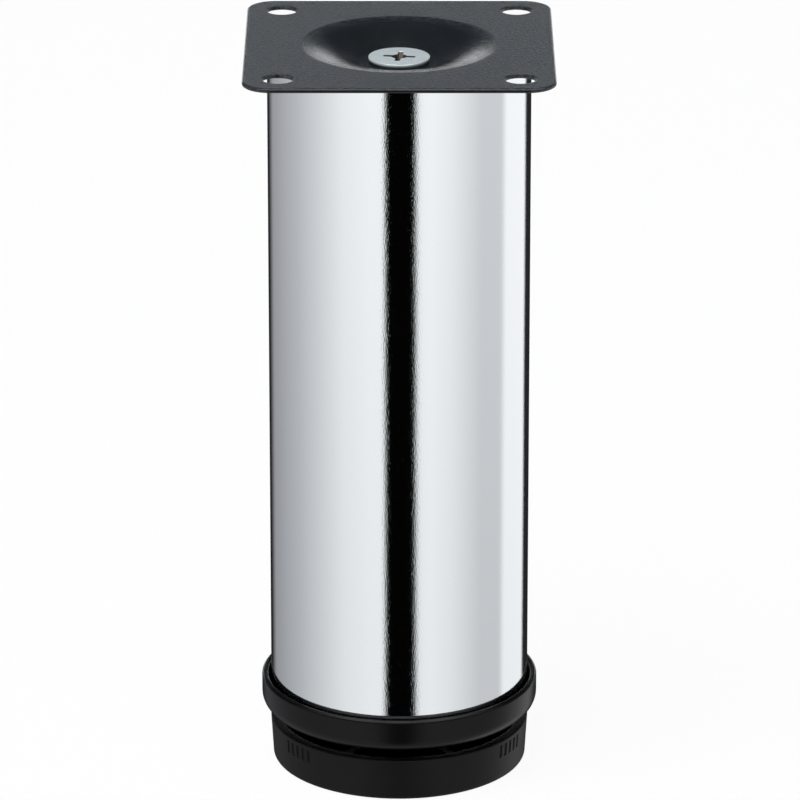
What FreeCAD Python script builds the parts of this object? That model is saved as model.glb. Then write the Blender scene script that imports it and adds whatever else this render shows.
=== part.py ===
import FreeCAD, Part
import math
import os

from FreeCAD import Vector

# Heights: the foot's wall, the gap over it at this setting, and collar underside to plate top
foot_height = 10.0
rest_gap = 2.5
body_height = 161.0

# Round tube
tube_diameter = 60.0
tube_wall = 1.2

# Pressed mounting plate with a round dish
plate_size = 70.0
plate_thickness = 1.0
plate_corner_radius = 6.5
hole_diameter = 7.0
hole_inset = 8.0
dish_diameter = 44.0
dish_depth = 4.0
dish_roll_radius = 22.0
dish_wall_angle = 24.0
dish_roll_steps = 3

# M8 countersunk screw with a cross recess
screw_diameter = 8.0
screw_length = 20.0
head_diameter = 14.4
head_edge = 0.5
head_proud = 1.1
head_seat_clearance = 0.05
recess_span = 7.6
recess_floor_span = 2.6
recess_width = 1.5
recess_depth = 3.0
recess_turn = 4.0

# Strap welded across the tube, and the nut welded under it
bridge_gap = 1.5
bridge_thickness = 2.5
bridge_width = 24.0
bridge_height = 14.0
bridge_bend = 2.0
bridge_hole_diameter = 9.0
bridge_weld_gap = 0.05
bridge_nut_flats = 13.0
bridge_nut_height = 6.5
bridge_nut_clearance = 0.05

# Moulded plug with its collar
collar_height = 8.1
collar_lip_wall = 1.25
collar_lip_gap = 0.9
collar_lip_bevel = 0.35
collar_under_round = 3.5
collar_under_steps = 3
socket_floor = 2.5
sleeve_length = 20.0
sleeve_wall = 1.8
sleeve_gap = 0.8
crush_rib_count = 8
crush_rib_width = 1.6
crush_rib_drop = 0.8
crush_rib_clearance = 0.05
boss_diameter = 25.0
boss_roof = 4.0
web_rib_count = 6
web_rib_thickness = 2.0
nut_pocket_clearance = 0.1
nut_pocket_recess = 0.6
stud_passage_clearance = 0.5

# M10 nut and stud
stud_diameter = 10.0
stud_rise = 26.0
stud_flange_diameter = 16.0
stud_flange_thickness = 3.0
stud_clearance = 0.08
socket_nut_flats = 17.0
socket_nut_height = 8.0

# Moulded foot, an open cup with a hub
foot_top_diameter = 60.2
foot_taper = 0.6
foot_bottom_bevel = 0.6
foot_wall = 1.8
foot_sole = 3.0
hub_diameter = 22.0
hub_drop = 0.6
foot_rib_count = 6
foot_rib_thickness = 1.8
foot_rib_drop = 2.0
notch_count = 5
notch_pitch = 3.65
notch_width = 1.0
notch_depth = 0.4
notch_length = 3.2
notch_drop = 1.0
notch_group_angle = 55.75
foot_turned = 3.75

tube_radius = tube_diameter / 2
tube_bore = tube_radius - tube_wall
collar_bottom = foot_height + rest_gap
tube_bottom = collar_bottom + socket_floor
plate_top = collar_bottom + body_height
plate_bottom = plate_top - plate_thickness
dish_floor = plate_top - dish_depth
head_top = dish_floor + head_proud
bridge_top = dish_floor - plate_thickness - bridge_gap
bridge_under = bridge_top - bridge_thickness
socket_nut_top = collar_bottom + nut_pocket_recess + socket_nut_height
boss_top = socket_nut_top + boss_roof
axis = Vector(0, 0, 1)
origin = Vector(0, 0, 0)


def at(r, z):
    return Vector(r, 0, z)


# Solid turned about the vertical axis from an outline of points (r, z)
def turned(*outline):
    points = [at(r, z) for r, z in outline + outline[:1]]
    return Part.Face(Part.makePolygon(points)).revolve(origin, axis, 360)


# Points (r, z) along an arc in equal straight steps; its angles run from straight up, outward
def arc(r, z, radius, first, last, steps):
    angles = [math.radians(first + (last - first) * k / steps) for k in range(steps + 1)]
    return [(r + radius * math.sin(a), z + radius * math.cos(a)) for a in angles]


def cylinder(radius, low, high):
    return Part.makeCylinder(radius, high - low, at(0, low))


# Bar lying along +X from r_in to r_out, turned to its place about the axis
def spoke(r_in, r_out, width, low, high, angle):
    bar = Part.makeBox(r_out - r_in, width, high - low, Vector(r_in, -width / 2, low))
    bar.rotate(origin, axis, angle)
    return bar


def spread(count):
    return [360.0 * k / count for k in range(count)]


# Six-sided prism standing on the given height
def hexagon(flats, low, high):
    corner = flats / math.sqrt(3)
    points = [Vector(corner * math.cos(a), corner * math.sin(a), low) for a in map(math.radians, spread(6))]
    return Part.Face(Part.makePolygon(points + points[:1])).extrude(at(0, high - low))


def nut(flats, bore, low, high):
    return hexagon(flats, low, high).cut(cylinder(bore, low, high))


# Square sheet with rounded corners and four holes, open in the middle for the dish
def flat_sheet():
    half = plate_size / 2
    sheet = Part.makeBox(plate_size, plate_size, plate_thickness, Vector(-half, -half, plate_bottom))
    upright = [e for e in sheet.Edges if abs(e.tangentAt(e.FirstParameter).z) > 0.9]
    sheet = sheet.makeFillet(plate_corner_radius, upright)
    place = half - hole_inset
    for x in (-place, place):
        for y in (-place, place):
            hole = Part.makeCylinder(hole_diameter / 2, plate_thickness, Vector(x, y, plate_bottom))
            sheet = sheet.cut(hole)
    return sheet.cut(cylinder(dish_diameter / 2, plate_bottom, plate_top))


# Pressed dish: a wide roll over the rim, a straight wall and a flat floor, all one sheet thick
def pressed_dish():
    slope = math.tan(math.radians(dish_wall_angle))
    roll_z = plate_top - dish_roll_radius

    def face(depth):
        roll = arc(dish_diameter / 2, roll_z, dish_roll_radius - depth, 0, -dish_wall_angle, dish_roll_steps)
        r, z = roll[-1]
        return roll + [(r - (z - dish_floor + depth) / slope, dish_floor - depth)]

    seat = head_diameter / 2 - (head_proud - head_edge) + head_seat_clearance
    t = plate_thickness
    return turned(*face(0), (seat, dish_floor), (seat - t, dish_floor - t), *reversed(face(t)))


def mounting_plate():
    return flat_sheet().fuse(pressed_dish()).removeSplitter()


def plate_screw():
    head = head_diameter / 2
    shank = screw_diameter / 2
    edge_z = head_top - head_edge
    tip = head_top - screw_length
    body = turned(
        (0, head_top),
        (head, head_top),
        (head, edge_z),
        (shank, edge_z - (head - shank)),
        (shank, tip),
        (0, tip),
    )
    half_top = recess_span / 2
    half_floor = recess_floor_span / 2
    deep = head_top - recess_depth
    wedge = [(-half_top, head_top), (half_top, head_top), (half_floor, deep), (-half_floor, deep)]
    outline = [Vector(x, -recess_width / 2, z) for x, z in wedge + wedge[:1]]
    for angle in (recess_turn, recess_turn + 90):
        arm = Part.Face(Part.makePolygon(outline)).extrude(Vector(0, recess_width, 0))
        arm.rotate(origin, axis, angle)
        body = body.cut(arm)
    return body


def leg_tube():
    bore = cylinder(tube_bore, tube_bottom, plate_bottom)
    return cylinder(tube_radius, tube_bottom, plate_bottom).cut(bore)


# Block across the axis with its two long top edges rounded
def loaf(half, low, high, bend):
    block = Part.makeBox(2 * half, bridge_width, high - low, Vector(-half, -bridge_width / 2, low))
    across = [e for e in block.Edges if abs(e.tangentAt(e.FirstParameter).y) > 0.9]
    return block.makeFillet(bend, [e for e in across if e.CenterOfMass.z > (low + high) / 2])


# Strap with both ends folded down, their corners against the tube's bore
def top_bridge():
    half = math.sqrt((tube_bore - bridge_weld_gap) ** 2 - (bridge_width / 2) ** 2)
    low = bridge_top - bridge_height
    strap = loaf(half, low, bridge_top, bridge_bend + bridge_thickness)
    strap = strap.cut(loaf(half - bridge_thickness, low, bridge_under, bridge_bend))
    return strap.cut(cylinder(bridge_hole_diameter / 2, bridge_under, bridge_top))


def bridge_nut():
    bore = screw_diameter / 2 + bridge_nut_clearance
    return nut(bridge_nut_flats, bore, bridge_under - bridge_nut_height, bridge_under)


def foot_socket():
    lip_bore = tube_radius + collar_lip_gap
    outer = lip_bore + collar_lip_wall
    lip_top = collar_bottom + collar_height
    bevel = collar_lip_bevel
    under = collar_under_round
    sleeve = tube_bore - sleeve_gap
    sleeve_bore = sleeve - sleeve_wall
    sleeve_top = tube_bottom + sleeve_length
    boss = boss_diameter / 2
    passage = stud_diameter / 2 + stud_passage_clearance
    body = turned(
        (passage, collar_bottom),
        *arc(outer - under, collar_bottom + under, under, 180, 90, collar_under_steps),
        (outer, lip_top - bevel),
        (outer - bevel, lip_top),
        (lip_bore, lip_top),
        (lip_bore, tube_bottom),
        (sleeve, tube_bottom),
        (sleeve, sleeve_top),
        (sleeve_bore, sleeve_top),
        (sleeve_bore, tube_bottom),
        (boss, tube_bottom),
        (boss, boss_top),
        (passage, boss_top),
    )
    rib_top = sleeve_top - crush_rib_drop
    crush = tube_bore - crush_rib_clearance
    inside = sleeve - sleeve_wall / 2
    ribs = [spoke(inside, crush, crush_rib_width, tube_bottom, rib_top, a) for a in spread(crush_rib_count)]
    webs = [
        spoke(boss - sleeve_wall, inside, web_rib_thickness, collar_bottom + socket_floor / 2, boss_top, a)
        for a in spread(web_rib_count)
    ]
    body = body.fuse(ribs + webs).removeSplitter()
    pocket = hexagon(socket_nut_flats + 2 * nut_pocket_clearance, collar_bottom, socket_nut_top)
    return body.cut(pocket)


def socket_nut():
    bore = stud_diameter / 2 + stud_clearance
    return nut(socket_nut_flats, bore, socket_nut_top - socket_nut_height, socket_nut_top)


def foot_stud():
    shank = stud_diameter / 2
    flange = stud_flange_diameter / 2
    top = foot_height + stud_rise
    flange_top = foot_sole + stud_flange_thickness
    return turned(
        (0, foot_sole),
        (flange, foot_sole),
        (flange, flange_top),
        (shank, flange_top),
        (shank, top),
        (0, top),
    )


def adjuster_foot():
    high = foot_top_diameter / 2
    low = high - foot_taper
    inside = low - foot_wall
    hub = hub_diameter / 2
    hub_top = foot_height - hub_drop
    bore = stud_diameter / 2 + stud_clearance
    bevel = foot_bottom_bevel
    lean = foot_taper / foot_height
    body = turned(
        (0, 0),
        (low - bevel, 0),
        (low + bevel * lean, bevel),
        (high, foot_height),
        (inside, foot_height),
        (inside, foot_sole),
        (hub, foot_sole),
        (hub, hub_top),
        (0, hub_top),
    )
    rib_top = foot_height - foot_rib_drop
    rib_end = low - foot_wall / 2
    ribs = [
        spoke(hub - foot_wall, rib_end, foot_rib_thickness, foot_sole / 2, rib_top, a)
        for a in spread(foot_rib_count)
    ]
    body = body.fuse(ribs).removeSplitter()
    c = stud_clearance
    flange = stud_flange_diameter / 2 + c
    flange_top = foot_sole + stud_flange_thickness + c
    body = body.cut(cylinder(flange, foot_sole - c, flange_top))
    body = body.cut(cylinder(bore, foot_sole, foot_height))
    notch_top = foot_height - notch_drop
    face = low + lean * notch_top
    wedge = [(face - notch_depth, 0), (face + notch_depth, notch_width), (face + notch_depth, -notch_width)]
    outline = Part.makePolygon([Vector(x, y, notch_top) for x, y in wedge + wedge[:1]])
    notches = []
    for group in (notch_group_angle, -notch_group_angle, 180 - notch_group_angle, 180 + notch_group_angle):
        for k in range(notch_count):
            groove = Part.Face(outline).extrude(at(-lean, -1) * notch_length)
            groove.rotate(origin, axis, group + (k - (notch_count - 1) / 2) * notch_pitch - 90 + foot_turned)
            notches.append(groove)
    return body.cut(Part.makeCompound(notches))


os.makedirs("parts", exist_ok=True)
for build in (
    mounting_plate,
    plate_screw,
    leg_tube,
    top_bridge,
    bridge_nut,
    foot_socket,
    socket_nut,
    foot_stud,
    adjuster_foot,
):
    build().exportStep("parts/" + build.__name__ + ".step")
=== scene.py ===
import bmesh
import bpy
import numpy as np
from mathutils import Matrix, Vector
from mathutils.geometry import delaunay_2d_cdt


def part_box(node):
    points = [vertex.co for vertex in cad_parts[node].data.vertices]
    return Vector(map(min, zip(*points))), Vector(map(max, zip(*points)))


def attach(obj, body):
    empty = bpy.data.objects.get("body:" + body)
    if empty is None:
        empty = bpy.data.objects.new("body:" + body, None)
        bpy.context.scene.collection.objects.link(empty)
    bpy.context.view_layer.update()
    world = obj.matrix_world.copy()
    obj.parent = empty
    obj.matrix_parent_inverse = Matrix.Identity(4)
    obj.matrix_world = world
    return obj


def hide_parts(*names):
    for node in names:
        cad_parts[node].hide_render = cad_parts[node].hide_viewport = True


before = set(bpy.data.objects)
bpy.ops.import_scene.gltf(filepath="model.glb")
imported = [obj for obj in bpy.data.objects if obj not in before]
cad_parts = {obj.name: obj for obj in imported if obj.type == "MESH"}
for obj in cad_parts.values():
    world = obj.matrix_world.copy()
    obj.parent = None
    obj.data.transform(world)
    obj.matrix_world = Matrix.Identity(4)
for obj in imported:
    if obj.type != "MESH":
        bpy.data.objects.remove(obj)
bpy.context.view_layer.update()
mm = 0.001
print("frame loaded,", len(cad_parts), "solids")


# An sRGB hex colour as linear light
def linear(hexColour):
    shown = np.array([int(hexColour[i:i + 2], 16) for i in (1, 3, 5)]) / 255
    light = np.where(shown <= 0.04045, shown / 12.92, ((shown + 0.055) / 1.055) ** 2.4)
    return (*light.tolist(), 1.0)


# Sets a node's inputs, each to a value or to another node's socket
def feed(tree, node, inputs):
    for key, value in inputs.items():
        if isinstance(value, bpy.types.NodeSocket):
            tree.links.new(value, node.inputs[key])
        else:
            node.inputs[key].default_value = value


# Adds a node with its settings and inputs; stops are a ramp's places and colours
def addNode(tree, kind, inputs=None, stops=(), **settings):
    made = tree.nodes.new("ShaderNode" + kind)
    for name, value in settings.items():
        setattr(made, name, value)
    feed(tree, made, inputs or {})
    for k, (place, colour) in enumerate(stops):
        ramp = made.color_ramp.elements
        element = ramp[k] if k < len(ramp) else ramp.new(1.0)
        element.position = place
        element.color = colour
    return made


# A sum on one or two values
def maths(tree, operation, *values):
    return addNode(tree, "Math", dict(enumerate(values)), operation=operation).outputs[0]


# A value carried from one range to another, and held at its ends
def mapped(tree, value, start, end, toStart=0.0, toEnd=1.0):
    ranges = {"Value": value, "From Min": start, "From Max": end, "To Min": toStart, "To Max": toEnd}
    return addNode(tree, "MapRange", ranges).outputs["Result"]


# A value from 0 to 1 carried to a range of its own
def spread(tree, value, toStart, toEnd):
    return mapped(tree, value, 0.0, 1.0, toStart, toEnd)


# A colour read off a ramp
def ramped(tree, value, stops):
    return addNode(tree, "ValToRGB", {"Fac": value}, stops).outputs["Color"]


# Two colours mixed, or multiplied
def mixed(tree, factor, first, second, how="MIX"):
    colours = {"Factor": factor, "A": first, "B": second}
    return addNode(tree, "Mix", colours, data_type="RGBA", blend_type=how).outputs["Result"]


# Cloudy noise, its features a size in millimetres
def cloudy(tree, place, size, detail=2.0, roughness=0.5):
    noise = {"Vector": place, "Scale": 1 / (size * mm), "Detail": detail, "Roughness": roughness}
    return addNode(tree, "TexNoise", noise).outputs["Fac"]


# A relief, its height in millimetres
def bumped(tree, pattern, height, strength=1.0):
    relief = {"Height": pattern, "Strength": strength, "Distance": height * mm}
    return addNode(tree, "Bump", relief).outputs["Normal"]


# Distance from the upright axis: the length of the place with its height left out
def axisDistance(tree, place):
    flat = addNode(tree, "VectorMath", {0: place, 1: (1, 1, 0)}, operation="MULTIPLY")
    return addNode(tree, "VectorMath", {0: flat.outputs[0]}, operation="LENGTH").outputs["Value"]


# An empty finish, with its shader and the piece's own coordinates in metres
def newFinish(name):
    finish = bpy.data.materials.new(name)
    finish.use_nodes = True
    tree = finish.node_tree
    place = addNode(tree, "TexCoord").outputs["Object"]
    return finish, tree, tree.nodes["Principled BSDF"], place


coat = {
    "pebble": 0.7,
    "pebbleHeight": 0.09,
    "dishFrom": 19.0,
    "dishTo": 23.0,
    "edgeFrom": 34.55,
    "edgeTo": 34.45,
    "dishGloss": 0.2,
    "flatGloss": 0.31,
}


# Black polyester powder coat, sprayed and baked: a fine pebbled skin with a soft grey sheen.
# The pebbles are about 0.45 mm, drawn at 0.7 mm so that they show; they lie smoother in the stretched dish
# and round the sheet's edge, and there the colour is darker: painted shade in the dish and on the edge.
def powderCoatFinish():
    finish, tree, shader, place = newFinish("BlackPowderCoat")
    pebbles = cloudy(tree, place, coat["pebble"], 2.0, 0.7)
    sides = addNode(tree, "VectorMath", {0: place}, operation="ABSOLUTE")
    sides = addNode(tree, "SeparateXYZ", {0: sides.outputs[0]})
    reach = maths(tree, "MAXIMUM", sides.outputs["X"], sides.outputs["Y"])
    inside = mapped(tree, reach, coat["edgeFrom"] * mm, coat["edgeTo"] * mm)
    onFlat = mapped(tree, axisDistance(tree, place), coat["dishFrom"] * mm, coat["dishTo"] * mm, 0.0, inside)
    grain = ramped(tree, pebbles, [(0.41, linear("#060708")), (0.59, linear("#363C42"))])
    # painted shade: a darker, smoother tone for the dish and the sheet's edge
    smoothShaded = ramped(tree, pebbles, [(0.35, linear("#111518")), (0.65, linear("#1A1E21"))])
    feed(tree, shader, {
        "Base Color": mixed(tree, onFlat, smoothShaded, grain),
        "Roughness": spread(tree, onFlat, coat["dishGloss"], coat["flatGloss"]),
        "Normal": bumped(tree, pebbles, coat["pebbleHeight"])})
    return finish


# Bright chrome plate on tube ground lengthways: a cool mirror with faint streaks about 0.25 mm wide
# and 1 mm long, which fray the edges of what it reflects
def chromeFinish():
    finish, tree, shader, place = newFinish("BrightChromePlate")
    along = addNode(tree, "Mapping", {"Vector": place, "Scale": (1.0, 1.0, 0.25)})
    streaks = cloudy(tree, along.outputs["Vector"], 0.25, 2.0, 0.6)
    feed(tree, shader, {
        "Base Color": linear("#ECF0F2"),
        "Metallic": 1.0,
        "Roughness": spread(tree, streaks, 0.03, 0.06),
        "Normal": bumped(tree, streaks, 0.02, 0.5)})
    return finish


plating = {
    "ringWidth": 0.35,
    "cloudSize": 1.5,
    "shadeFade": 0.1,
    "recessFrom": 4.4,
    "recessTo": 4.0,
}


# Blue-bright zinc plate on a cold-headed screw: pale, slightly blue, with turned rings about 0.35 mm apart
# and a painted brown-grey shade down in the recess
def zincFinish(name, shadeBelow):
    finish, tree, shader, place = newFinish(name)
    fromAxis = axisDistance(tree, place)
    ringNoise = {"W": fromAxis, "Scale": 1 / (plating["ringWidth"] * mm), "Detail": 1.0}
    rings = addNode(tree, "TexNoise", ringNoise, noise_dimensions="1D").outputs["Fac"]
    cloud = cloudy(tree, place, plating["cloudSize"], 3.0)
    height = addNode(tree, "SeparateXYZ", {0: place}).outputs["Z"]
    # painted shade: a dark brown-grey down in the recess, below the given height and inside the recess radius
    deep = mapped(tree, height, shadeBelow - plating["shadeFade"] * mm, shadeBelow, 1.0, 0.0)
    recessShade = mapped(tree, fromAxis, plating["recessFrom"] * mm, plating["recessTo"] * mm, 0.0, deep)
    tone = ramped(tree, cloud, [(0.3, linear("#DDE7E9")), (0.7, linear("#E8F0F1"))])
    feed(tree, shader, {
        "Base Color": mixed(tree, recessShade, tone, linear("#403C34")),
        "Metallic": 0.45,
        "Roughness": spread(tree, rings, 0.28, 0.33),
        "Normal": bumped(tree, rings, 0.01, 0.05)})
    return finish


# Plain pressed steel strip: grey, rolled along X, with faint streaks about 0.6 mm wide
def stripSteelFinish():
    finish, tree, shader, place = newFinish("PlainStripSteel")
    along = addNode(tree, "Mapping", {"Vector": place, "Scale": (0.05, 1.0, 1.0)})
    streaks = cloudy(tree, along.outputs["Vector"], 0.6)
    feed(tree, shader, {
        "Base Color": ramped(tree, streaks, [(0.3, linear("#7E8083")), (0.7, linear("#989A9D"))]),
        "Metallic": 1.0,
        "Roughness": spread(tree, streaks, 0.38, 0.52)})
    return finish


# Black polypropylene, injection moulded: near black, with a dull sheen that the tool's polish sets;
# its grain, about 0.2 mm, is drawn at 0.5 mm so that it shows
def plasticFinish(name, dark, pale, polish, rough):
    finish, tree, shader, place = newFinish(name)
    grain = cloudy(tree, place, 0.5)
    flow = cloudy(tree, place, 9)
    feed(tree, shader, {
        "Base Color": ramped(tree, flow, [(0.3, linear(dark)), (0.7, linear(pale))]),
        "Specular IOR Level": 0.18,
        "Roughness": spread(tree, grain, polish, rough),
        "Normal": bumped(tree, grain, 0.05, 0.08)})
    return finish


# Quads of a grid of points, row by row; a wrapped side joins its last line to its first
def gridFaces(rows, cols, wrapRows=False, wrapCols=True):
    r = np.arange(rows if wrapRows else rows - 1)[:, None]
    c = np.arange(cols if wrapCols else cols - 1)[None, :]
    nextRow = (r + 1) % rows
    nextCol = (c + 1) % cols
    corners = [r * cols + c, r * cols + nextCol, nextRow * cols + nextCol, nextRow * cols + c]
    return np.stack(corners, -1).reshape(-1, 4)


# Outline with softened corners: a corner (r, z, round) becomes an arc between its two tangent points,
# found by turning the radius evenly from one to the other; an open outline keeps its two ends
def softOutline(corners, steps=6, closed=True, least=0.02):
    p = np.array([c[:2] for c in corners], float)
    size = np.array([max(c[2], least) if len(c) > 2 else least for c in corners])[:, None]
    back = np.roll(p, 1, 0) - p
    ahead = np.roll(p, -1, 0) - p
    back /= np.linalg.norm(back, axis=1, keepdims=True)
    ahead /= np.linalg.norm(ahead, axis=1, keepdims=True)
    half = np.arccos(np.clip((back * ahead).sum(1, keepdims=True), -1, 1)) / 2
    inward = (back + ahead) / np.linalg.norm(back + ahead, axis=1, keepdims=True)
    centre = p + inward * size / np.sin(half)
    first = p + back * size / np.tan(half) - centre
    last = p + ahead * size / np.tan(half) - centre
    turn = (np.pi - 2 * half)[:, :, None]
    s = np.linspace(0, 1, steps + 1)[None, :, None]
    radius = np.sin((1 - s) * turn) * first[:, None] + np.sin(s * turn) * last[:, None]
    arcs = centre[:, None] + radius / np.sin(turn)
    if not closed:
        arcs[[0, -1]] = p[[0, -1]][:, None]
    return arcs.reshape(-1, 2)


# Outline with its long runs divided, by reading it off at even steps along its length as well
def divided(outline, longest):
    run = np.append(0, np.cumsum(np.linalg.norm(np.diff(outline, axis=0), axis=1)))
    places = np.union1d(run, np.arange(0, run[-1], longest))
    return np.stack([np.interp(places, run, outline[:, 0]), np.interp(places, run, outline[:, 1])], -1)


# Equal shares of a full turn
def evenAngles(count):
    return np.arange(count) * 2 * np.pi / count


# Surface turned about the upright axis: x = r sin a, y = -r cos a; angle 0 is the front,
# and r may vary with a
def turned(r, z, angles, closed=False):
    r, z, a = np.broadcast_arrays(r, z, angles[None, :])
    points = np.stack([r * np.sin(a), -r * np.cos(a), z], -1)
    return points.reshape(-1, 3), gridFaces(len(r), len(angles), closed)


# The same for an outline of (r, z) points
def turnedOutline(outline, angles, closed=False):
    return turned(outline[:, :1], outline[:, 1:], angles, closed)


# Straight blocks standing like spokes: eight corners along u, across v and up z, turned to each angle at once
def spokes(count, inner, outer, width, low, high):
    a = (evenAngles(count) + np.pi / 2)[:, None]
    u = np.array([inner, outer, outer, inner] * 2)
    v = np.array([-1, -1, 1, 1] * 2) * width / 2
    z = np.array([low] * 4 + [high] * 4)
    x = u * np.sin(a) + v * np.cos(a)
    y = v * np.sin(a) - u * np.cos(a)
    points = np.stack(np.broadcast_arrays(x, y, z), -1)
    block = np.array([[0, 3, 2, 1], [4, 5, 6, 7], [0, 1, 5, 4], [1, 2, 6, 5], [2, 3, 7, 6], [3, 0, 4, 7]])
    return points.reshape(-1, 3), (block + 8 * np.arange(count)[:, None, None]).reshape(-1, 4)


# Right-hand thread: the radius falls from crest to root and back once a pitch, along z less the turn's share,
# with a short flat at both; it runs in over the first pitch and is bevelled at the end
def threaded(radius, depth, pitch, low, high, bevel, angles, perTurn=12):
    z = np.linspace(low, high, int(perTurn * abs(high - low) / pitch) + 1)[:, None]
    phase = (z / pitch - angles[None, :] / (2 * np.pi)) % 1
    fade = np.clip(np.abs(z - low) / pitch, 0, 1)
    groove = np.clip(1.25 * np.abs(2 * phase - 1) - 0.1, 0, 1)
    r = radius - depth * fade * groove
    return turned(np.minimum(r, radius - bevel + np.abs(high - z)), z, angles)


# Joins surfaces given in millimetres into one closed piece that rides on a body in place of its solid
def makePiece(name, node, body, finish, surfaces, sharp=35):
    starts = np.cumsum([0] + [len(points) for points, faces in surfaces])
    points = np.concatenate([points for points, faces in surfaces]) * mm
    faces = [quad for start, (_, block) in zip(starts, surfaces) for quad in (block + start).tolist()]
    mesh = bpy.data.meshes.new(name)
    mesh.from_pydata(points.tolist(), [], faces)
    shape = bmesh.new()
    shape.from_mesh(mesh)
    bmesh.ops.remove_doubles(shape, verts=shape.verts, dist=0.001 * mm)
    bmesh.ops.recalc_face_normals(shape, faces=shape.faces)
    openEdges = sum(len(edge.link_faces) != 2 for edge in shape.edges)
    shape.to_mesh(mesh)
    shape.free()
    mesh.shade_smooth()
    mesh.set_sharp_from_angle(angle=np.radians(sharp))
    mesh.materials.append(finish)
    piece = bpy.data.objects.new(name, mesh)
    bpy.context.scene.collection.objects.link(piece)
    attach(piece, body)
    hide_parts(node)
    print(name, "made:", len(mesh.polygons), "faces,", openEdges, "open edges")


# Lowest and highest z of a solid, in millimetres
def span(node):
    low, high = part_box(node)
    return low.z / mm, high.z / mm


powderCoat = powderCoatFinish()
chrome = chromeFinish()
stripSteel = stripSteelFinish()
collarPlastic = plasticFinish("SatinMouldedPlastic", "#040405", "#080809", 0.25, 0.32)
footPlastic = plasticFinish("DullMouldedPlastic", "#060607", "#0A0A0B", 0.42, 0.52)

tube = {
    "outer": 30.0,
    "wall": 1.2,
    "endRound": 0.3,
    "boreRound": 0.15,
    "ringEvery": 3.0,
    "sides": 288,
}


def makeTube():
    low, high = span("leg_tube")
    outer = tube["outer"]
    bore = outer - tube["wall"]
    soft = tube["endRound"]
    fine = tube["boreRound"]
    ring = softOutline([(bore, low, fine), (outer, low, soft), (outer, high, soft), (bore, high, fine)])
    ring = divided(np.vstack([ring, ring[:1]]), tube["ringEvery"])[:-1]
    makePiece("ChromeTube", "leg_tube", "leg", chrome,
              [turnedOutline(ring, evenAngles(tube["sides"]), True)])


makeTube()

plate = {
    "half": 35.0,
    "corner": 6.5,
    "edgeRound": 0.45,
    "holeRadius": 3.5,
    "holeAt": 27.0,
    "holeRound": 0.25,
    "holeSides": 48,
    "loopGap": 0.3,
    "rimGap": 0.4,
    "sheetFrom": 23.0,
    "dishRadius": 22.3,
    "dishDepth": 4.0,
    "rimAngle": 9.0,
    "rimRound": 2.5,
    "bendAt": 15.9,
    "bendRound": 42.0,
    "wallAngle": 24.0,
    "floorBend": 2.5,
    "seatRadius": 6.45,
    "seatRound": 0.1,
    "sides": 192,
}


# Points and outward directions round a square with rounded corners: each corner is a quarter circle
def squareLoop(half, corner, steps=16):
    a = np.linspace(0, np.pi / 2, steps + 1) + np.arange(4)[:, None] * np.pi / 2
    out = np.stack([np.cos(a), np.sin(a)], -1)
    middle = np.sign(out[:, steps // 2]) * (half - corner)
    return (middle[:, None] + corner * out).reshape(-1, 2), out.reshape(-1, 2)


# An edge profile (inset, z) carried along a loop, each point moved in against the loop's outward direction
def carried(loop, out, profile):
    inset = profile[:, 0][:, None, None]
    flat = loop[None] - inset * out[None]
    z = np.broadcast_to(profile[:, 1][:, None, None], flat.shape[:2] + (1,))
    return np.concatenate([flat, z], -1).reshape(-1, 3), gridFaces(len(profile), len(loop))


# Flat sheet: one triangle mesh of all the loops' points, without the triangles over the dish or a hole
def flatSheet(loops, holes, clear, dish, z):
    points = np.concatenate(loops)
    starts = np.cumsum([0] + [len(loop) for loop in loops])
    edges = np.concatenate([
        np.stack([np.arange(len(loop)), np.roll(np.arange(len(loop)), -1)], -1) + start
        for start, loop in zip(starts, loops)])
    spots, _, faces = delaunay_2d_cdt([Vector(p) for p in points], edges.tolist(), [], 0, 1e-7)[:3]
    spots = np.array(spots)
    faces = np.array(faces)
    middle = spots[faces].mean(1)
    solid = np.linalg.norm(middle, axis=1) > dish
    solid &= (np.linalg.norm(middle[:, None] - holes[None], axis=2) > clear).all(1)
    return np.column_stack([spots, np.full(len(spots), z)]), faces[solid]


# Section of the dish, from the sheet's top over the seat to its underside. It falls gently from its rim,
# then bends to a steeper wall; the underside's corners lie one thickness below, along the two
# neighbouring normals.
def dishOutline(low, top, under):
    floor = top - plate["dishDepth"]
    rimSlope, wallSlope = np.tan(np.radians([plate["rimAngle"], plate["wallAngle"]]))
    bendLevel = top - (plate["dishRadius"] - plate["bendAt"]) * rimSlope
    floorFrom = plate["bendAt"] - (bendLevel - floor) / wallSlope
    slopes = np.radians([0, plate["rimAngle"], plate["wallAngle"], 0])
    normals = np.stack([np.sin(slopes), -np.cos(slopes)], -1) * under
    corners = np.array([(plate["dishRadius"], top), (plate["bendAt"], bendLevel), (floorFrom, floor)])
    lower = corners + (normals[:-1] + normals[1:]) / (1 + np.cos(np.diff(slopes)))[:, None]
    rounds = np.array([plate["rimRound"], plate["bendRound"], plate["floorBend"]])
    lowerRounds = rounds + under * np.array([-1, -1, 1])
    rim, seat, soft = plate["sheetFrom"], plate["seatRadius"], plate["seatRound"]
    return softOutline([
        (rim, top), *np.column_stack([corners, rounds]), (seat, floor, soft), (seat - under, low, soft),
        *np.column_stack([lower, lowerRounds])[::-1], (rim, top - under)], 14, False)


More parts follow.
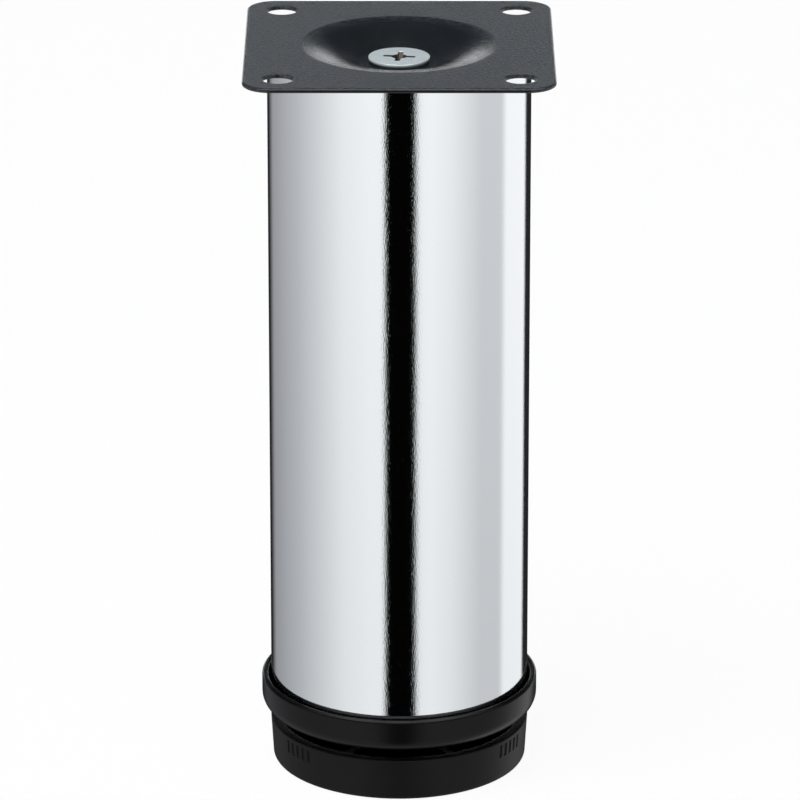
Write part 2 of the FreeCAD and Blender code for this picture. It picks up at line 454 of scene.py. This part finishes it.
def makePlate():
    low, top = span("mounting_plate")
    under = top - plate["dishDepth"] - low
    angles = evenAngles(plate["sides"])

    def edge(size):
        corners = [(size, top), (0, top, size), (0, top - under, size), (size, top - under)]
        return softOutline(corners, 6, False)

    outline, out = squareLoop(plate["half"], plate["corner"])
    holes = np.array([[-1, -1], [1, -1], [1, 1], [-1, 1]]) * plate["holeAt"]
    holeAngles = evenAngles(plate["holeSides"])
    ring = np.stack([np.cos(holeAngles), np.sin(holeAngles)], -1)
    rim = plate["sheetFrom"]
    rimLoop = np.stack([np.sin(angles), -np.cos(angles)], -1) * rim
    bore = plate["holeRadius"]
    brim = bore + plate["holeRound"]
    # A second loop beside each edge keeps the sheet's shading flat
    gap = plate["loopGap"]
    sheetLoops = [outline - inset * out for inset in (plate["edgeRound"], plate["edgeRound"] + gap)]
    sheetLoops += [rimLoop, rimLoop * (1 + plate["rimGap"] / rim)]
    sheetLoops += [hole + reach * ring for hole in holes for reach in (brim, brim + gap)]
    surfaces = [
        turnedOutline(dishOutline(low, top, under), angles),
        carried(outline, out, edge(plate["edgeRound"])),
        *(carried(hole + bore * ring, -ring, edge(plate["holeRound"])) for hole in holes),
        *(flatSheet(sheetLoops, holes, brim, rim, z) for z in (top, top - under))]
    makePiece("MountingPlate", "mounting_plate", "leg", powderCoat, surfaces)


makePlate()

screw = {
    "headRadius": 7.0,
    "rimRound": 0.15,
    "headEdge": 0.5,
    "shankRadius": 4.0,
    "plainNeck": 0.6,
    "threadDepth": 0.7,
    "pitch": 1.25,
    "bevel": 0.8,
    "squareHalf": 4.0,
    "armHalf": 3.7,
    "armFloor": 1.3,
    "armWidth": 1.2,
    "wellRadius": 1.75,
    "wellFloor": 1.0,
    "recessDepth": 3.0,
    "turn": -8.0,
    "shadeDrop": 0.02,
}


# Screw head's face: a square grid laid out to a disc, by blending each ring of the square into a circle.
# It sinks by the deepest of two crossed slots, with sloped ends and steep sides, and a tapered well
# in the middle.
def screwFace(top, reach):
    side = screw["armWidth"] / 2
    square = screw["squareHalf"]
    # Grid lines from the middle outwards, close together at the slots' sides and over the well's wall
    lines = np.concatenate([
        [0, 0.2, 0.4, side - 0.06, side + 0.04], np.linspace(0.8, 2.0, 9), [2.5, 3.1, screw["armHalf"], square],
        np.linspace(square, reach, 7)[1:]])
    lines = np.concatenate([-lines[:0:-1], lines])
    s, t = np.meshgrid(lines, lines)
    ring = np.maximum(abs(s), abs(t))
    blend = np.clip((ring - square) / (reach - square), 0, 1)
    scale = 1 - blend + blend * ring / np.maximum(np.hypot(s, t), 1e-9)
    fall = screw["recessDepth"] / (screw["armHalf"] - screw["armFloor"])

    def slot(along, across):
        depth = np.clip((screw["armHalf"] - abs(along)) * fall, 0, screw["recessDepth"])
        return depth * (abs(across) < side)

    well = (screw["wellRadius"] - np.hypot(s, t)) / (screw["wellRadius"] - screw["wellFloor"])
    depth = np.maximum.reduce([slot(s, t), slot(t, s), np.clip(well, 0, 1) * screw["recessDepth"]])
    turn = np.radians(screw["turn"])
    x = s * scale * np.cos(turn) - t * scale * np.sin(turn)
    y = s * scale * np.sin(turn) + t * scale * np.cos(turn)
    points = np.stack([x, y, top - depth], -1)
    loop = np.concatenate([points[0, :-1], points[:-1, -1], points[-1, :0:-1], points[:0:-1, 0]])
    size = len(lines)
    return (points.reshape(-1, 3), gridFaces(size, size, False, False)), np.arctan2(loop[:, 0], -loop[:, 1])


def makeScrew():
    low, top = span("plate_screw")
    head = screw["headRadius"]
    shank = screw["shankRadius"]
    bevel = screw["bevel"]
    reach = head - screw["rimRound"]
    neck = top - screw["headEdge"] - (head - shank)
    threadFrom = neck - screw["plainNeck"]
    face, angles = screwFace(top, reach)
    side = softOutline([
        (reach, top), (head, top, screw["rimRound"]), (head, top - screw["headEdge"], 0.1),
        (shank, neck, 0.2), (shank, threadFrom)], 5, False)
    thread = threaded(shank, screw["threadDepth"], screw["pitch"], threadFrom, low, bevel, angles, 8)
    tip = turnedOutline(np.array([(shank - bevel, low), (0, low)]), angles)
    zinc = zincFinish("BlueZincScrew", (top - screw["shadeDrop"]) * mm)
    makePiece("PlateScrew", "plate_screw", "leg", zinc,
              [face, turnedOutline(side, angles), thread, tip])


makeScrew()

socket = {
    "outer": 32.15,
    "lipBore": 30.5,
    "height": 8.1,
    "floor": 2.5,
    "lipRound": 0.75,
    "underRound": 3.5,
    "sleeve": 28.0,
    "sleeveWall": 1.8,
    "boss": 12.5,
    "bossTop": 12.6,
    "passage": 5.5,
    "nutFlats": 17.2,
    "nutRoof": 8.6,
    "crushRibs": 8,
    "crushWidth": 1.6,
    "crushInside": 0.9,
    "crushOut": 0.75,
    "crushDrop": 0.8,
    "webs": 6,
    "webWidth": 2.0,
    "webLow": 1.2,
    "webInBoss": 1.5,
    "webInSleeve": 0.9,
    "sides": 240,
}


# Distance from the axis to a hexagon's side in each direction: half its flats over the cosine of the angle
# from the nearest flat's middle
def hexagonRadius(flats, angles):
    return flats / 2 / np.cos((angles - np.pi / 6) % (np.pi / 3) - np.pi / 6)


def makeSocket():
    low, top = span("foot_socket")
    angles = evenAngles(socket["sides"])
    outer, lip, sleeve, boss = (socket[key] for key in ("outer", "lipBore", "sleeve", "boss"))
    bore = sleeve - socket["sleeveWall"]
    floor = low + socket["floor"]
    lipTop = low + socket["height"]
    bossTop = low + socket["bossTop"]
    roof = low + socket["nutRoof"]
    pocket = socket["nutFlats"] / 2
    ring = softOutline([
        (pocket, low, 0.2), (outer, low, socket["underRound"]), (outer, lipTop, socket["lipRound"]),
        (lip, lipTop, socket["lipRound"]), (lip, floor, 0.2), (sleeve, floor, 0.2), (sleeve, top, 0.6),
        (bore, top, 0.3), (bore, floor, 0.4), (boss, floor, 0.4), (boss, bossTop, 0.3),
        (socket["passage"], bossTop, 0.3), (socket["passage"], roof, 0.1), (pocket, roof, 0.1)], 10)
    # The points round the nut's pocket are drawn out to its hexagon
    r, z = ring[:, :1], ring[:, 1:]
    inPocket = (z < roof + 0.05) & (r < pocket + 0.5)
    r = np.where(inPocket & (r > pocket - 0.3), r * hexagonRadius(socket["nutFlats"], angles) / pocket, r)
    crush = spokes(socket["crushRibs"], sleeve - socket["crushInside"], sleeve + socket["crushOut"],
                   socket["crushWidth"], floor, top - socket["crushDrop"])
    webs = spokes(socket["webs"], boss - socket["webInBoss"], bore + socket["webInSleeve"],
                  socket["webWidth"], low + socket["webLow"], bossTop)
    makePiece("CollarPlug", "foot_socket", "leg", collarPlastic,
              [turned(r, z, angles, True), crush, webs])


makeSocket()

foot = {
    "topRadius": 30.1,
    "taper": 0.6,
    "bottomRound": 1.0,
    "wallFrom": 1.6,
    "rimDrop": 0.4,
    "rimRound": 0.25,
    "wall": 1.8,
    "sole": 3.0,
    "hub": 11.0,
    "hubDrop": 0.6,
    "studBore": 5.08,
    "flangeRadius": 8.08,
    "flangeLow": 2.92,
    "flangeTop": 6.08,
    "ribs": 6,
    "ribWidth": 1.8,
    "ribLow": 1.5,
    "ribDrop": 2.0,
    "ribInHub": 1.8,
    "ribInWall": 0.9,
    "notchGroups": (-52.0, 59.5, 128.0, 239.5),
    "notchPitch": 3.65,
    "notchesEach": 5,
    "notchRadius": 0.5,
    "notchDepth": 0.4,
    "notchLength": 3.2,
    "notchDrop": 1.0,
    "notchFade": 0.3,
}


# How far each angle is from the nearest of the centres, either way round
def nearest(angles, centres):
    return np.abs((angles[:, None] - centres + np.pi) % (2 * np.pi) - np.pi).min(1)


# Angles round the foot: close together across each notch, and even between
def footAngles(centres, halfWidth):
    across = np.linspace(-1.1, 1.1, 23) * halfWidth
    close = (centres[:, None] + across).ravel() % (2 * np.pi)
    even = evenAngles(180)
    return np.sort(np.concatenate([close, even[nearest(even, centres) > 1.3 * halfWidth]]))


def makeFoot():
    low, high = span("adjuster_foot")
    topRadius = foot["topRadius"]
    lean = foot["taper"] / (high - low)
    base = topRadius - foot["taper"]
    inside = base - foot["wall"]
    steps = (np.arange(foot["notchesEach"]) - (foot["notchesEach"] - 1) / 2) * foot["notchPitch"]
    centres = np.radians((np.array(foot["notchGroups"])[:, None] + steps).ravel())
    size, depth, fadeOver = foot["notchRadius"], foot["notchDepth"], foot["notchFade"]
    halfWidth = np.sqrt(size ** 2 - (size - depth) ** 2) / topRadius
    angles = footAngles(centres, halfWidth)
    notchTop = high - foot["notchDrop"]
    notchLow = notchTop - foot["notchLength"]
    wallFrom, rimDrop = foot["wallFrom"], foot["rimDrop"]
    z = np.unique(np.concatenate([
        np.linspace(low + wallFrom, high - rimDrop, 9), notchLow + np.array([-0.1, 0, 0.12, fadeOver]),
        notchTop + np.array([-fadeOver, -0.12, 0, 0.1])]))[:, None]
    # A notch is a round groove: its depth is the height of a circle's arc over the wall, at each point's
    # distance from the nearest notch's middle, and it fades at both ends
    away = nearest(angles, centres) * topRadius
    groove = np.maximum(np.sqrt(np.maximum(size ** 2 - away ** 2, 0)) - (size - depth), 0)
    fade = np.clip(np.minimum(z - notchLow, notchTop - z) / fadeOver, 0, 1)
    wall = turned(base + lean * (z - low) - fade ** 0.5 * groove[None, :], z, angles)
    bottom = softOutline([
        (0, low), (base, low, foot["bottomRound"]), (base + lean * wallFrom, low + wallFrom)], 8, False)
    hub, bore, flange, soft = (foot[key] for key in ("hub", "studBore", "flangeRadius", "rimRound"))
    hubTop = high - foot["hubDrop"]
    sole = low + foot["sole"]
    flangeTop = low + foot["flangeTop"]
    flangeLow = low + foot["flangeLow"]
    cup = softOutline([
        (topRadius - lean * rimDrop, high - rimDrop), (topRadius, high, soft), (inside, high, soft),
        (inside, sole, 0.5), (hub, sole, 0.5), (hub, hubTop, 0.3), (bore, hubTop, 0.3),
        (bore, flangeTop), (flange, flangeTop), (flange, flangeLow), (0, flangeLow)], 4, False)
    ribs = spokes(foot["ribs"], hub - foot["ribInHub"], inside + foot["ribInWall"],
                  foot["ribWidth"], low + foot["ribLow"], high - foot["ribDrop"])
    makePiece("ScrewFoot", "adjuster_foot", "adjuster", footPlastic,
              [turnedOutline(bottom, angles), wall, turnedOutline(cup, angles), ribs])


makeFoot()

stud = {
    "radius": 5.0,
    "threadDepth": 0.9,
    "pitch": 1.5,
    "bevel": 1.2,
    "flangeRadius": 8.0,
    "flangeHeight": 3.0,
    "flangeRound": 0.3,
    "shadeBelow": -1.0,  # far below the part, so that none shows
    "sides": 64,
}


# The stud is fast in the foot, so its thread turns with it
def makeStud():
    low, high = span("foot_stud")
    angles = evenAngles(stud["sides"])
    radius, wide, soft = stud["radius"], stud["flangeRadius"], stud["flangeRound"]
    shoulder = low + stud["flangeHeight"]
    flange = softOutline([
        (0, low), (wide, low, soft), (wide, shoulder, soft), (radius, shoulder)], 4, False)
    rod = threaded(radius, stud["threadDepth"], stud["pitch"], shoulder, high, stud["bevel"], angles)
    tip = turnedOutline(np.array([(radius - stud["bevel"], high), (0, high)]), angles)
    zinc = zincFinish("BlueZincStud", stud["shadeBelow"])
    makePiece("FootStud", "foot_stud", "adjuster", zinc,
              [turnedOutline(flange, angles), rod, tip])
    for node in ("bridge_nut", "socket_nut"):
        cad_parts[node].material_slots[0].material = zinc


makeStud()
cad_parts["top_bridge"].material_slots[0].material = stripSteel

studio = {
    # brightness of what stands round the leg, by the angle from the front in degrees, right positive
    "cards": [(-160, 0.02), (-152, 0.18), (-146, 0.35), (-134, 0.39), (-100, 0.55), (-75, 0.73), (-50, 0.94),
              (-26, 1.02), (-13.6, 1.02), (-11.6, 0.001), (13.6, 0.001), (15.8, 0.85), (19, 1.0), (28, 1.03),
              (46, 0.95), (77, 0.7), (101, 0.7), (108, 1.06), (143, 1.06), (147, 0.02)],
    "cardBlue": 0.08,
    # the cards dim a little towards the floor, between these two heights of the unit direction
    "dimFrom": -0.29,
    "dimTo": -0.385,
    "dimmed": 0.9,
    # brightness overhead, from the horizon at the back over the top to the front, in degrees
    "sky": [(0, 1.45), (4, 1.45), (7, 0.7), (10, 0.25), (13, 0.09), (17, 0.05), (22, 0.04), (72, 0.05),
            (84, 2.1), (126, 2.1), (140, 0.12), (180, 0.10)],
    # how much of it shows, by the distance to the side
    "window": [(0.0, 0.95), (0.035, 1.05), (0.05, 2.5), (0.095, 2.5), (0.135, 0.15), (0.18, 0.12),
               (0.225, 1.6), (0.5, 1.6), (0.65, 0.3), (1.0, 0.3)],
    # heights where the sky takes over from the cards; at the back it reaches lower, where the plate looks
    "skyFrom": 0.08,
    "skyTo": 0.15,
    "backFrom": 0.88,
    "backTo": 0.94,
    "backDrop": 0.35,
    # heights where the floor takes over, and its brightness
    "floorFrom": -0.8,
    "floorTo": -0.95,
    "floor": 0.6,
    "floorHalf": 4.0,
    "floorClear": 0.94,
    "ambient": 0.35,
    "lampWatts": 26.5,
    "lampSize": 1.2,
    "lampAt": (-0.5, -0.5, 1.6),
    "lampTarget": (0, 0, 0.1),
    "camera": (0.000176, -1.37104, 0.58464),
    "target": (0.000176, 0.0, 0.08775),
    "lens": 284.089,
}


# A grey that turns a little blue in the shade, by taking red out and putting blue in
def grey(value, redOut=0.13, blueIn=0.13):
    shade = max(1 - value, 0)
    return (value * (1 - redOut * shade), value, value * (1 + blueIn * shade), 1.0)


# Surroundings: a mirror sees the cards and the sky, a dull surface sees an even light, the camera sees white
def makeWorld():
    world = bpy.data.worlds.new("Studio")
    bpy.context.scene.world = world
    world.use_nodes = True
    world.cycles.sampling_method = "NONE"
    tree = world.node_tree
    away = addNode(tree, "SeparateXYZ", {0: addNode(tree, "TexCoord").outputs["Generated"]})
    x, y, z = (away.outputs[k] for k in "XYZ")
    around = maths(tree, "ARCTAN2", x, maths(tree, "MULTIPLY", y, -1.0))
    cards = ramped(tree, mapped(tree, around, -np.pi, np.pi), [
        ((angle + 180) / 360, grey(value, 0, studio["cardBlue"])) for angle, value in studio["cards"]])
    over = maths(tree, "ARCTAN2", maths(tree, "ABSOLUTE", z), y)
    sky = ramped(tree, mapped(tree, over, 0.0, np.pi), [
        (angle / 180, grey(value)) for angle, value in studio["sky"]])
    width = ramped(tree, maths(tree, "ABSOLUTE", x), [
        (reach, (share, share, share, 1.0)) for reach, share in studio["window"]])
    window = mixed(tree, 1.0, sky, width, "MULTIPLY")
    back = mapped(tree, y, studio["backFrom"], studio["backTo"], 0.0, studio["backDrop"])
    up = mapped(tree, maths(tree, "ADD", z, back), studio["skyFrom"], studio["skyTo"])
    down = mapped(tree, z, studio["floorFrom"], studio["floorTo"])
    dim = mapped(tree, z, studio["dimFrom"], studio["dimTo"], 1.0, studio["dimmed"])
    low = mixed(tree, down, mixed(tree, 1.0, cards, dim, "MULTIPLY"), grey(studio["floor"]))
    path = addNode(tree, "LightPath").outputs
    glossy = mixed(tree, path["Is Glossy Ray"], grey(studio["ambient"]), mixed(tree, up, low, window))
    feed(tree, tree.nodes["Background"], {"Color": mixed(tree, path["Is Camera Ray"], glossy, grey(1.0))})


# Pale floor: to the camera mostly plain white, with a share of matt paint that keeps the leg's shadow;
# from underneath it is clear
def makeFloor():
    finish, tree, shader, _ = newFinish("PaleFloor")
    feed(tree, shader, {"Base Color": linear("#F2F2F2"), "Roughness": 0.9})
    seen = addNode(tree, "LightPath").outputs["Is Camera Ray"]
    share = maths(tree, "MULTIPLY", seen, studio["floorClear"])
    clear = addNode(tree, "BsdfTransparent").outputs[0]
    top = addNode(tree, "MixShader", {0: share, 1: shader.outputs[0], 2: clear})
    below = addNode(tree, "NewGeometry").outputs["Backfacing"]
    both = addNode(tree, "MixShader", {0: below, 1: top.outputs[0], 2: clear})
    feed(tree, tree.nodes["Material Output"], {"Surface": both.outputs[0]})
    mesh = bpy.data.meshes.new("Floor")
    half = studio["floorHalf"]
    corners = [(-half, -half, 0), (half, -half, 0), (half, half, 0), (-half, half, 0)]
    mesh.from_pydata(corners, [], [(0, 1, 2, 3)])
    mesh.materials.append(finish)
    floor = bpy.data.objects.new("Floor", mesh)
    floor.visible_glossy = False
    bpy.context.scene.collection.objects.link(floor)


# Turns a lamp or camera to look at a place
def aim(thing, place):
    thing.rotation_euler = (Vector(place) - thing.location).to_track_quat("-Z", "Y").to_euler()


# A wide soft lamp overhead, a little to the left and front
def makeLamp():
    lamp = bpy.data.lights.new("SoftTop", "AREA")
    lamp.shape = "SQUARE"
    lamp.size = studio["lampSize"]
    lamp.energy = studio["lampWatts"]
    holder = bpy.data.objects.new("SoftTop", lamp)
    holder.location = studio["lampAt"]
    aim(holder, studio["lampTarget"])
    holder.visible_glossy = False
    bpy.context.scene.collection.objects.link(holder)


def makeCamera():
    lens = bpy.data.cameras.new("Camera")
    lens.lens = studio["lens"]
    lens.sensor_width = 36.0
    lens.clip_end = 20.0
    camera = bpy.data.objects.new("Camera", lens)
    camera.location = studio["camera"]
    aim(camera, studio["target"])
    bpy.context.scene.collection.objects.link(camera)
    bpy.context.scene.camera = camera


makeWorld()
makeFloor()
makeLamp()
makeCamera()
bpy.context.scene.view_settings.view_transform = "Standard"
print("studio set")

bpy.context.view_layer.update()
